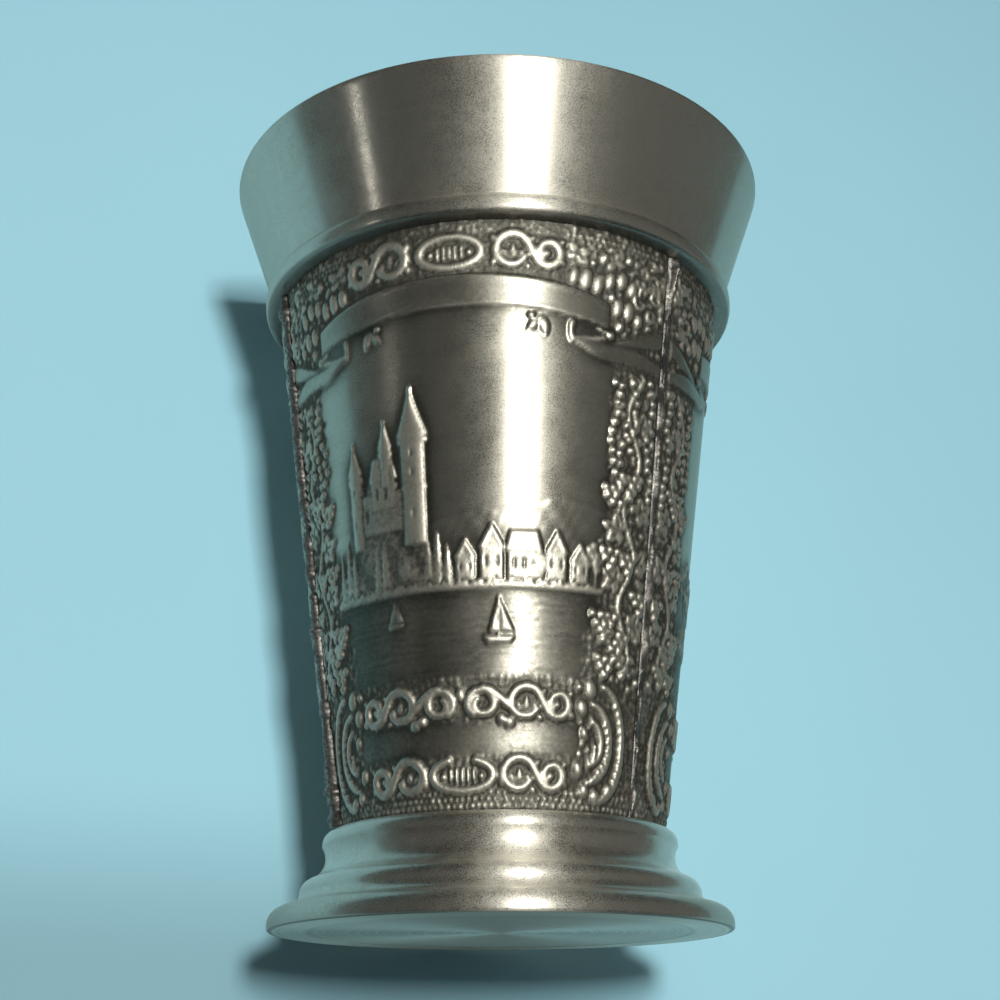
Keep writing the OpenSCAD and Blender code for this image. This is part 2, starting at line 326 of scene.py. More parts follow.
def collar_outline():
    """Closed half section of the rim collar."""
    socket_r = RIM_TENON_R + SOLDER_GAP
    bead_round = BEAD_H / 2
    bead_centre = (BEAD_R - bead_round, COLLAR_Z + bead_round)
    lip_z = CUP_H - LIP_ROUND
    flare_foot = COLLAR_Z + BEAD_H
    flare = (LIP_R - FLARE_R) / (lip_z - flare_foot)
    bead = arc(bead_centre, bead_round, -90, 0, 24, BEAD_POWER) + arc(bead_centre, bead_round, 0, 90, 20)[1:]
    bead = [p for p in bead if p[0] > FLARE_R + flare * (p[1] - flare_foot) or p[1] < bead_centre[1]]
    wall = [(FLARE_R + flare * (z - flare_foot), z) for z in np.linspace(bead[-1][1] + 0.02, lip_z, 24)]
    lip = arc((LIP_R - LIP_ROUND, lip_z), LIP_ROUND, 0, 90, 8)
    lip += arc((LIP_R - LIP_T + LIP_ROUND, lip_z), LIP_ROUND, 90, 180, 8)
    return [(socket_r, COLLAR_Z)] + bead + wall[:-1] + lip + [
        (bore_r(PANEL_TOP), PANEL_TOP), (socket_r, PANEL_TOP)]


def cove(side, z, centre, radius):
    """Hollow arc from a round edge that it touches to a side wall: centre, radius, angle of touch."""
    across, rise = side - centre[0], z - centre[1]
    reach = (across ** 2 + rise ** 2 - radius ** 2) / (2 * (radius - across))
    return (side + reach, z), reach, degrees(atan2(rise, across + reach))


def foot_outline():
    """Closed half section of the foot ring."""
    seat_r = DISC_R + SOLDER_GAP
    socket_r = FOOT_TENON_R + SOLDER_GAP
    flange = (BASE_R - FLANGE_ROUND, FLANGE_H - FLANGE_ROUND)
    step = (STEP_R - STEP_ROUND, STEP_H - STEP_ROUND)
    low_cove, low_r, low_touch = cove(STEP_R, step[1], flange, FLANGE_ROUND)
    high_cove, high_r, high_touch = cove(NECK_R, NECK_Z, step, STEP_ROUND)
    high_end = degrees(acos((DRUM_R - high_cove[0]) / high_r))
    return ([(seat_r, 0.0)]
            + arc((BASE_R - FOOT_EDGE, FOOT_EDGE), FOOT_EDGE, -90, 0, 6)
            + arc(flange, FLANGE_ROUND, 0, low_touch, 18)
            + arc(low_cove, low_r, 180 + low_touch, 180, 14)[1:]
            + arc(step, STEP_ROUND, 0, high_touch, 16)[1:]
            + arc(high_cove, high_r, 180 + high_touch, high_end, 22)[1:]
            + arc((DRUM_R - DRUM_ROUND, FOOT_H - DRUM_ROUND), DRUM_ROUND, 0, 90, 12)
            + [(socket_r, FOOT_H), (socket_r, PANEL_BOTTOM), (bore_r(PANEL_BOTTOM), PANEL_BOTTOM),
               (bore_r(FLOOR_Z), FLOOR_Z), (seat_r, FLOOR_Z)])


def revolve(outline, segments):
    """Closed ring mesh of a half section: vertices, faces and corner UVs."""
    outline = np.asarray(outline)
    count = len(outline)
    angles = np.linspace(0, 2 * pi, segments, endpoint=False)
    vertices = np.stack([
        np.outer(np.sin(angles), outline[:, 0]), -np.outer(np.cos(angles), outline[:, 0]),
        np.broadcast_to(outline[:, 1], (segments, count))], axis=-1).reshape(-1, 3)
    lengths = np.hypot(*(np.roll(outline, -1, axis=0) - outline).T)
    along = np.concatenate([[0], np.cumsum(lengths)]) / lengths.sum()
    faces, uvs = [], []
    for i in range(segments):
        j = (i + 1) % segments
        left, right = i / segments, (i + 1) / segments
        for k in range(count):
            m = (k + 1) % count
            faces.append((i * count + k, j * count + k, j * count + m, i * count + m))
            uvs += [(left, along[k]), (right, along[k]), (right, along[k + 1]), (left, along[k + 1])]
    return vertices, faces, uvs


def make_disc():
    """Floor disc with its solder, as rings of quads round a small middle face on each side."""
    rim, segments = DISC_R + SOLDER_GAP, DISC_STEPS
    shares = np.arange(1, DISC_RINGS + 1) / DISC_RINGS
    outline = [(rim * s, SOLDER_GAP / 2) for s in shares] + [(rim * s, FLOOR_Z) for s in shares[::-1]]
    vertices, faces, uvs = revolve(outline, segments)
    count = len(outline)
    keep = [n for n in range(len(faces)) if n % count != count - 1]
    faces = [faces[n] for n in keep]
    uvs = [uv for n in keep for uv in uvs[4 * n:4 * n + 4]]
    faces.append(tuple(i * count for i in reversed(range(segments))))
    faces.append(tuple(i * count + count - 1 for i in range(segments)))
    angles = np.linspace(0, 2 * pi, segments, endpoint=False)
    for middle in (0.02, 0.06):
        uvs += [(middle + 0.015 * cos(a), 0.98 + 0.015 * sin(a)) for a in angles]
    return vertices, faces, uvs


def make_turned_pieces():
    """Rim collar, foot ring and floor disc."""
    make_piece("rim_turned", *revolve(collar_outline(), RING_STEPS), TURNED, "turned_pewter", "rim_collar")
    make_piece("foot_turned", *revolve(foot_outline(), RING_STEPS), TURNED, "turned_pewter", "foot_ring")
    make_piece("floor_turned", *make_disc(), FLOOR_METAL, "floor_pewter", "base_disc")


# Relief: a height above the band's ground on a grid of angle and height
COLUMNS, ROWS = 298, 326


def rounded(distance, reach, height, power=2):
    """Form with full height at distance 0 and nothing at reach; a high power flattens its round top."""
    return height * np.sqrt(np.clip(1 - (np.abs(distance) / reach) ** power, 0, None))


def plateau(inside, height, edge=0.16):
    """Flat-topped form with a rounded edge; inside is the distance in from its outline."""
    t = np.clip(inside / edge, 0, 1)
    return height * t * (2 - t)


def smooth(value, low, high):
    """Smooth step from 0 at low to 1 at high."""
    t = np.clip((value - low) / (high - low), 0, 1)
    return t * t * (3 - 2 * t)


def least(*grids):
    """The smallest of several distances at each point."""
    smallest = grids[0]
    for grid in grids[1:]:
        smallest = np.minimum(smallest, grid)
    return smallest


def turned(x, y, turn):
    """Parts of a place along a direction, given in degrees, and across it."""
    c, s = cos(radians(turn)), sin(radians(turn))
    return c * x + s * y, c * y - s * x


def blurred(grid, reach):
    """Grid blurred by three passes of a box of that many cells each way."""
    span = 2 * reach + 1
    for axis in (0, 1):
        for _ in range(3):
            pad = [(reach + 1, reach) if a == axis else (0, 0) for a in (0, 1)]
            total = np.cumsum(np.pad(grid, pad, mode="edge"), axis=axis)
            high = np.take(total, range(span, total.shape[axis]), axis=axis)
            low = np.take(total, range(total.shape[axis] - span), axis=axis)
            grid = (high - low) / span
    return grid


def eased(grid):
    """Grid with each step softened over its neighbours."""
    for axis in (0, 1):
        wide = np.pad(grid, [(1, 1) if k == axis else (0, 0) for k in (0, 1)], mode="edge")
        count = grid.shape[axis]
        grid = sum(w * np.take(wide, range(k, k + count), axis=axis) for k, w in enumerate((0.25, 0.5, 0.25)))
    return grid


def arc_path(centre, radius, start, end, shrink=0.0, squash=1.0):
    """Points of an arc in millimetres, angles in degrees; shrink draws it into a spiral."""
    t = np.linspace(0, 1, max(8, int(abs(end - start) / 7)))
    angle, reach = np.radians(start + (end - start) * t), radius * (1 - shrink * t)
    return np.stack([centre[0] + reach * np.cos(angle), centre[1] + squash * reach * np.sin(angle)], axis=-1)


def resampled(path, step=0.07):
    """Path with even steps, its corners eased."""
    lengths = np.concatenate([[0], np.cumsum(np.hypot(*np.diff(path, axis=0).T))])
    places = np.linspace(0, lengths[-1], max(6, int(lengths[-1] / step)))
    even = np.stack([np.interp(places, lengths, path[:, k]) for k in (0, 1)], axis=-1)
    padded = np.pad(even, ((3, 3), (0, 0)), mode="edge")
    return sum(padded[k:k + len(even)] for k in range(7)) / 7


# Forms sink ground lower than a height to this share within this many millimetres
MOAT, MOAT_W, MOAT_H = 0.5, 0.16, 0.22
S_LINK = resampled(np.concatenate([
    arc_path((-1.2, 0.05), 1.0, 335, 200, -0.25), arc_path((-1.2, 0.05), 1.25, 185, 18),
    arc_path((1.35, -0.1), 0.95, 215, 430), arc_path((1.35, -0.1), 0.85, 80, 230, 0.5)]))
SPIRAL = resampled(np.concatenate([arc_path((0, 0), 1.0, -60, 200), arc_path((0, 0), 0.92, 210, 420, 0.6)]))
SPIRAL_STEM = resampled(np.array([[-0.2, 1.15], [0.5, 0.85], [1.25, 0.25], [1.75, -0.35]]))


class Relief:
    """Height field of one panel; u is degrees from the panel's middle, z millimetres."""

    def __init__(self, seed):
        self.u = np.linspace(-PANEL_HALF, PANEL_HALF, COLUMNS + 1)
        self.z = np.linspace(FOOT_H, COLLAR_Z, ROWS + 1)
        self.h = np.zeros((ROWS + 1, COLUMNS + 1))
        self.field, self.dull = np.zeros_like(self.h), np.zeros_like(self.h)
        self.random = np.random.default_rng(seed)

    def axes(self):
        """Angles as a row and heights as a column."""
        return self.u[None, :], self.z[:, None]

    def window(self, u, z, reach):
        """Grid area within reach of a place, with its x round the cup and y up, in millimetres."""
        spread = degrees(reach / ground_r(z))
        rows = slice(*np.searchsorted(self.z, [z - reach, z + reach]))
        columns = slice(*np.searchsorted(self.u, [u - spread, u + spread]))
        zz = self.z[rows, None]
        x = np.radians(self.u[None, columns] - u) * ground_r(zz)
        return (rows, columns), x, zz - z + 0 * x

    def cover(self, inside, height):
        """Smooth form that stands in front of what is already there."""
        self.h = np.where(inside > 0, height, np.where(inside > -0.2, np.minimum(self.h, 0.04), self.h))
        covered = smooth(inside, 0.0, 0.3)
        self.field = self.field * (1 - covered) + 0.85 * covered
        self.dull = np.maximum(self.dull, covered)

    def lift(self, area, height, near=False):
        """Raises an area to at least a height, sinking what lies near the form first."""
        below = np.where(near & (self.h[area] < MOAT_H), MOAT * self.h[area], self.h[area])
        self.h[area] = np.maximum(below, height)

    def dome(self, u, z, radius, height, tall=1.0, turn=0.0):
        """Berry, bead or drop; tall stretches it, turn leans it."""
        area, x, y = self.window(u, z, radius * max(1, tall) + MOAT_W)
        along, across = turned(x, y, turn)
        gap = np.hypot(along, across / tall)
        self.lift(area, rounded(gap, radius, height), gap < radius + MOAT_W)

    def stroke(self, u, z, path, width, height, taper=0.7):
        """Flat-topped scroll line along a path in millimetres, thinner at its ends."""
        ends = np.abs(np.linspace(-1, 1, len(path)))
        widths = width / 2 * (1 - (1 - taper) * ends ** 4)
        area, x, y = self.window(u, z, np.abs(path).max() + width)
        total, near = np.zeros_like(x), np.zeros(x.shape, bool)
        for (px, py), w in zip(path, widths):
            gap = np.hypot(x - px, y - py)
            total = np.maximum(total, rounded(gap, w, height, 5))
            near |= gap < w + MOAT_W
        self.lift(area, total, near)

    def leaf(self, u, z, length, width, turn, height):
        """Pointed leaf from its stalk at the place, with a midrib."""
        area, x, y = self.window(u, z, length + MOAT_W)
        along, across = turned(x, y, turn)
        along = along / length
        half = width / 2 * np.sin(pi * np.clip(along, 0, 1) ** 0.75) + 1e-6
        body = rounded(np.clip(across / half, -1, 1), 1, height) * (0.75 + 0.25 * np.clip(along, 0, 1))
        body = body - 0.3 * height * np.exp(-(across / 0.10) ** 2)
        inside = (along > 0) & (along < 1) & (np.abs(across) < half)
        near = (along > 0) & (along < 1 + MOAT_W / length) & (np.abs(across) < half + MOAT_W)
        self.lift(area, np.where(inside, body, 0), near)

    def vine_leaf(self, u, z, size, turn, height):
        """Five-lobed vine leaf."""
        for spread, share in ((0, 1.0), (55, 0.9), (-55, 0.9), (110, 0.7), (-110, 0.7)):
            self.leaf(u, z, size * share, size * share * 0.8, turn + spread, height)

    def vine_leaves(self, places, side, height):
        """Vine leaves at places, sizes and turns given for the right side."""
        for u, z, size, turn in places:
            self.vine_leaf(side * u, z, size, turn if side > 0 else 180 - turn, height)

    def grapes(self, u, z, rows, radius, height):
        """Hanging bunch of berries, widest at its top row."""
        for row in range(rows):
            for k in range(rows - row):
                x = (k - (rows - row - 1) / 2) * radius * 1.75
                shift = self.random.uniform(-0.08, 0.08, 2)
                step = degrees((x + shift[0]) / ground_r(z))
                self.dome(u + step, z - row * radius * 1.5 + shift[1], radius, height * (1 + 0.06 * row))

    def trail(self, us, zs, width, height):
        """Round stem through places given as angles and heights."""
        for u, z in zip(us, zs):
            area, x, y = self.window(u, z, width / 2)
            self.lift(area, rounded(np.hypot(x, y), width / 2, height))

    def stipple(self, size, height, share, zone=1.0):
        """Seeded ground: a round grain of its own size in a share of jittered cells."""
        x = np.radians(self.u)[None, :] * ground_r(self.z)[:, None] + 40
        y = self.z[:, None] + 0 * x
        jitter = self.random.random((int(60 / size), int(90 / size), 4))
        column, row = (x / size).astype(int), (y / size).astype(int)
        for dr in (-1, 0, 1):
            for dc in (-1, 0, 1):
                r, c = row + dr, column + dc
                cell = jitter[r, c]
                spot = 0.5 + 0.6 * (cell - 0.5)
                gap = np.hypot(x / size - c - spot[..., 0], y / size - r - spot[..., 1])
                grain = rounded(gap, 0.34 + 0.16 * cell[..., 3], height * (0.6 + 0.8 * cell[..., 3]))
                self.h = np.maximum(self.h, zone * np.where(cell[..., 2] < share, grain, 0))

    def foliage(self, count, u_range, z_range, side):
        """Crowded small leaves and berries at random places in a zone."""
        draw = self.random.uniform
        for _ in range(count):
            u, z = side * draw(*u_range), draw(*z_range)
            length, turn = draw(0.8, 1.5), draw(-70, 70)
            self.leaf(u, z, length, length * 0.58, 270 + turn, draw(0.18, 0.28))
            u, z = side * draw(*u_range), draw(*z_range)
            radius = draw(0.18, 0.32)
            self.dome(u, z, radius, 0.12 + 0.6 * radius, draw(1.0, 1.7), turn / 3)


# Where the ornament lies on a panel: heights in millimetres, half widths in degrees
FIELD_LOW = 15.7
RIBBON_LOW, RIBBON_W, RIBBON_HALF = 42.1, 2.45, 40.5
PLATE_Z, PLATE_HALF, PLATE_W = 11.7, 38.0, 2.5
FRIEZE_Z, LOW_FRIEZE_Z, SPIRAL_Z = 46.25, PLATE_Z - 2.4, PLATE_Z + 2.3
# Shares that the drawn heights are reduced to
PICTURE_DEPTH, RELIEF_DEPTH = 0.58, 0.85


def ribbon_edges(u):
    """Lower and upper edge of the arched ribbon at an angle."""
    low = RIBBON_LOW - 0.9 * (u / 40) ** 2
    return low, low + RIBBON_W - 0.55 * (u / 40) ** 4


def millimetres(z):
    """Millimetres round the cup for one degree."""
    return ground_r(z) * radians(1)


def draw_field(relief):
    """Smooth picture field: takes the stipple away and marks the brushed area."""
    u, z = relief.axes()
    low, _ = ribbon_edges(u)
    half = 43.0 - 6.0 * smooth(23 - z, 0, 6) + 0.9 * np.sin(z * 1.9) + 0.7 * np.sin(z * 4.3)
    inside = least((half - np.abs(u)) * 0.26, z - FIELD_LOW, low + 0.4 - z)
    plate = least(PLATE_W / 2 - np.abs(z - PLATE_Z), (PLATE_HALF - np.abs(u)) * 0.22)
    flat = smooth(np.maximum(inside, plate), -0.15, 0.35)
    relief.field = np.maximum(smooth(inside, -0.15, 0.35), 0.8 * smooth(plate, -0.15, 0.35))
    relief.h = relief.h * (1 - flat) + 0.05 * flat


def draw_ribbon(relief):
    """Arched ribbon that folds back at each end into a swallow tail."""
    u, z = relief.axes()
    a, mm = np.abs(u), millimetres(z)
    tail_low = 39.75 - 0.95 * smooth(a, 29, 39)
    tail_high = 40.25 + 1.95 * smooth(a, 38, 58) ** 1.2
    notch = 58.3 - 8.5 * np.clip(1 - np.abs(z - 40.2 - 0.02 * (a - 50)) / 0.75, 0, 1)
    inside = least(z - tail_low, tail_high - z, np.minimum(a - 30.2, notch - a) * mm)
    crease = 0.10 * np.exp(-((z - 40.0 - 0.028 * (a - 40)) / 0.22) ** 2) * smooth(a, 34, 42)
    swell = 0.08 * np.sin(pi * np.clip((z - tail_low) / (tail_high - tail_low), 0, 1))
    relief.cover(inside, plateau(inside, 0.17, 0.26) + np.where(inside > 0.05, swell - crease, 0))
    t = np.linspace(0, 1, 40)
    bow = np.sin(pi * t)
    for side in (-1, 1):
        relief.trail(side * (30.5 - 0.5 * bow), 41.4 - 1.5 * t, 0.46, 0.24)
        relief.trail(side * (30.6 + 10.2 * t), 40.1 + 0.5 * t - 0.15 * bow, 0.42, 0.22)
        relief.trail(side * (37.5 + 3.4 * t), 41.15 - 0.4 * t, 0.4, 0.24)
        relief.dome(side * 41.0, 40.72, 0.36, 0.3)
    low, high = ribbon_edges(u)
    inside = least(z - low, high - z, (RIBBON_HALF - a) * mm)
    across = (z - (low + high) / 2) / (RIBBON_W / 2)
    lip = 0.05 * np.exp(-((np.abs(across) - 0.82) / 0.14) ** 2)
    relief.cover(inside, plateau(inside, 0.2, 0.26) + np.where(inside > 0.05, lip, 0))


def draw_link(relief, u, z, size, height, side):
    """S-shaped scroll with a leaf in its inner volute and a ball in its outer one."""
    per_mm = 1 / millimetres(z)
    relief.stroke(u, z, S_LINK * size * np.array([side, 1]), 0.74 * size, height)
    for turn in (38, 142, 90):
        relief.leaf(u - side * 1.2 * size * per_mm, z - 0.62 * size, 1.25 * size, 0.56 * size, turn, height)
    relief.dome(u + side * 1.3 * size * per_mm, z - 0.1 * size, 0.3 * size, height * 1.1)
    for x, y in ((0.25, 0.95), (2.45, 0.85), (-0.1, -1.15), (2.5, -0.75)):
        relief.dome(u + side * x * size * per_mm, z + y * size, 0.24 * size, height * 0.9)


def draw_oval(relief, z, size, height, opened):
    """Oval with hanging bars and two dots, open at its top where asked."""
    ring = arc_path((0, 0), 2.35, 90 + opened, 450 - opened, squash=0.5) * size
    relief.stroke(0, z, resampled(ring), 0.66 * size, height, taper=0.85)
    per_mm = 1 / millimetres(z)
    for k in range(-2, 3):
        bar = np.stack([np.full(9, 0.44 * k), np.linspace(-0.55, 0.45, 9) * cos(k * 0.35)], axis=-1)
        relief.stroke(0, z, bar * size, 0.28 * size, height * 0.85, taper=0.8)
    for side in (-1, 1):
        relief.dome(side * 1.45 * size * per_mm, z - 0.1 * size, 0.26 * size, height)


def draw_friezes(relief):
    """Scrolls under the collar, and above and below the bare plate."""
    draw_oval(relief, FRIEZE_Z, 1.0, 0.24, 0)
    draw_oval(relief, LOW_FRIEZE_Z, 0.9, 0.28, 24)
    for side in (-1, 1):
        for u, z, size, height in ((19.3, FRIEZE_Z, 1.0, 0.26), (22.4, LOW_FRIEZE_Z, 0.85, 0.29),
                                   (24.2, PLATE_Z + 2.35, 0.85, 0.3)):
            draw_link(relief, side * u, z, size, height, side)
        relief.stroke(side * 6.2, SPIRAL_Z, SPIRAL * np.array([-side, 1]) * 0.92, 0.6, 0.3)
        relief.stroke(side * 7.0, SPIRAL_Z, SPIRAL_STEM * np.array([side, 1]), 0.64, 0.32, taper=0.5)
        for u, z, radius, height, tall, turn in (
                (12.5, PLATE_Z + 1.25, 0.38, 0.3, 1.2, 40), (14.6, PLATE_Z + 1.05, 0.42, 0.3, 1.0, 0),
                (12.2, PLATE_Z - 2.5, 0.28, 0.28, 3.0, 0), (10.6, FRIEZE_Z + 0.9, 0.26, 0.22, 1.4, 0),
                (10.6, FRIEZE_Z - 0.9, 0.26, 0.22, 1.4, 0)):
            relief.dome(side * u, z, radius, height, tall, side * turn)
    relief.dome(0, PLATE_Z + 2.9, 0.34, 0.28, 1.5)


def draw_side_arcs(relief):
    """Three nested arcs with beads, and drops between them, at each end of the plate."""
    t = np.radians(np.linspace(84, -92, 50))
    for side in (-1, 1):
        for centre, wide, tall, width in ((43.4, 2.05, 3.9, 0.62), (40.0, 1.7, 2.65, 0.56),
                                          (40.3, 0.95, 1.45, 0.5)):
            path = np.stack([side * wide * np.cos(t), tall * np.sin(t)], axis=-1)
            relief.stroke(side * centre, PLATE_Z - 0.1, resampled(path), width, 0.24, taper=0.75)
            for px, py in resampled(path, 0.55)[3:]:
                relief.dome(side * centre + px / millimetres(PLATE_Z), PLATE_Z - 0.1 + py, width * 0.42, 0.31)
        for u, z, radius, tall in ((39.8, 3.5, 0.5, 1.4), (37.2, 2.2, 0.42, 1.5), (38.2, 0.5, 0.34, 1.5),
                                   (36.6, -1.9, 0.36, 1.6), (39.0, -3.3, 0.34, 1.5), (43.0, -3.6, 0.4, 1.2),
                                   (48.2, -3.2, 0.36, 1.4), (36.0, 3.6, 0.3, 1.0), (33.6, 1.6, 0.3, 1.0)):
            relief.dome(side * u, PLATE_Z + z, radius, 0.32, tall, side * 12)
        for k in range(9):
            u = 37.6 + 2.2 * (k % 2) + 0.5 * sin(k * 2.2)
            relief.dome(side * u, PLATE_Z - 1.6 + 0.36 * k, 0.2, 0.18)


def draw_bead_ground(relief):
    """Uneven rows of small beads along the foot and under the collar's ends."""
    for row in range(3):
        for u in np.arange(-57, 57.1, 2.0):
            shift = relief.random.uniform(-0.5, 0.5, 3)
            spot, z = u + row + 0.6 * shift[0], FOOT_H + 0.3 + row * 0.42 + 0.1 * shift[1]
            relief.dome(spot, z, 0.21 + 0.05 * shift[2], 0.2)
    for row in range(4):
        for u in np.arange(29, 57, 1.5):
            for side in (-1, 1):
                shift = relief.random.uniform(-0.3, 0.3, 2)
                relief.dome(side * (u + 0.75 * (row % 2) + shift[0]), COLLAR_Z - 0.8 - row * 0.42, 0.22, 0.22)


def draw_vines(relief):
    """Grape vines up both sides of the picture field."""
    heights = np.linspace(16.2, 38.2, 150)
    for side in (-1, 1):
        relief.foliage(24, (44.5, 58.0), (15.6, 39.0), side)
        relief.trail(side * (50.3 + 2.4 * np.sin((heights - 16) * 0.9)), heights, 0.44, 0.28)
        for u, low, high in ((43.8, 31.6, 38.0), (46.2, 28.6, 37.4), (50.0, 32.6, 38.0), (56.0, 29.4, 38.2)):
            for z in np.arange(low, high, 0.72):
                spot = u + 0.8 * sin(z * 1.1 + u) + relief.random.uniform(-0.9, 0.9)
                relief.dome(side * spot, z, relief.random.uniform(0.28, 0.37), 0.34)
        relief.vine_leaves(((46.8, 23.0, 1.5, 150), (47.0, 26.6, 1.6, 165), (53.8, 20.0, 1.5, 10),
                            (54.2, 24.4, 1.5, 60), (53.8, 28.2, 1.5, 30), (52.6, 34.4, 1.4, 80)), side, 0.3)
        for u, z, rows in ((43.4, 20.4, 4), (47.6, 19.2, 4), (44.6, 17.4, 3), (51.0, 17.6, 3),
                           (50.6, 24.8, 3), (50.2, 30.6, 4), (44.0, 29.6, 3),
                           (56.2, 22.2, 3), (44.2, 25.0, 3)):
            relief.grapes(side * u, z, rows, 0.36, 0.34)


def draw_corners(relief):
    """Leaves, curls and two rows of hanging drops in the two upper corners."""
    draw = relief.random.uniform
    for side in (-1, 1):
        relief.foliage(22, (29.0, 58.0), (42.8, 47.4), side)
        relief.vine_leaves(((31.4, 46.6, 1.5, 255), (41.5, 46.3, 1.4, 110), (49.8, 45.8, 1.5, 120),
                            (54.6, 45.0, 1.6, 75), (51.4, 43.2, 1.4, 60)), side, 0.24)
        for u, z, radius, tall in ((30.4, 44.7, 0.46, 1.7), (33.6, 44.6, 0.52, 1.8), (36.9, 44.4, 0.46, 1.8),
                                   (40.3, 44.9, 0.42, 1.7), (43.6, 45.1, 0.5, 1.5), (47.0, 44.7, 0.44, 1.7),
                                   (42.8, 42.9, 0.46, 1.8), (46.0, 42.9, 0.48, 1.8), (49.2, 42.4, 0.38, 1.6),
                                   (43.6, 41.6, 0.36, 1.3), (52.8, 41.9, 0.36, 1.5), (38.4, 46.5, 0.34, 1.4)):
            relief.dome(side * u, z, radius, 0.34, tall, side * -8)
        for k in range(12):
            relief.dome(side * (41.6 + 0.9 * (k % 4)), 42.3 - 0.3 * (k // 4), 0.19, 0.2)
        for _ in range(12):
            u, z = side * draw(49, 57), draw(42.7, 47.2)
            turn, radius = draw(0, 360), draw(0.4, 0.65)
            relief.stroke(u, z, resampled(arc_path((0, 0), radius, turn, turn + 230, shrink=0.45)), 0.32, 0.3)


def draw_buds(relief):
    """Small drooping bud under each half of the ribbon."""
    z = 41.35
    for side, turns in ((-1, (-45, 255)), (1, (225, 285))):
        u = side * 22.5
        relief.leaf(u, z, 1.55, 0.75, turns[0], 0.3)
        relief.leaf(u, z, 1.45, 0.75, turns[1], 0.3)
        relief.dome(u - side * 2.6, z + 0.1, 0.3, 0.26)


# Pictures: generic country scenes
PICTURE_R = ground_r(27.0)


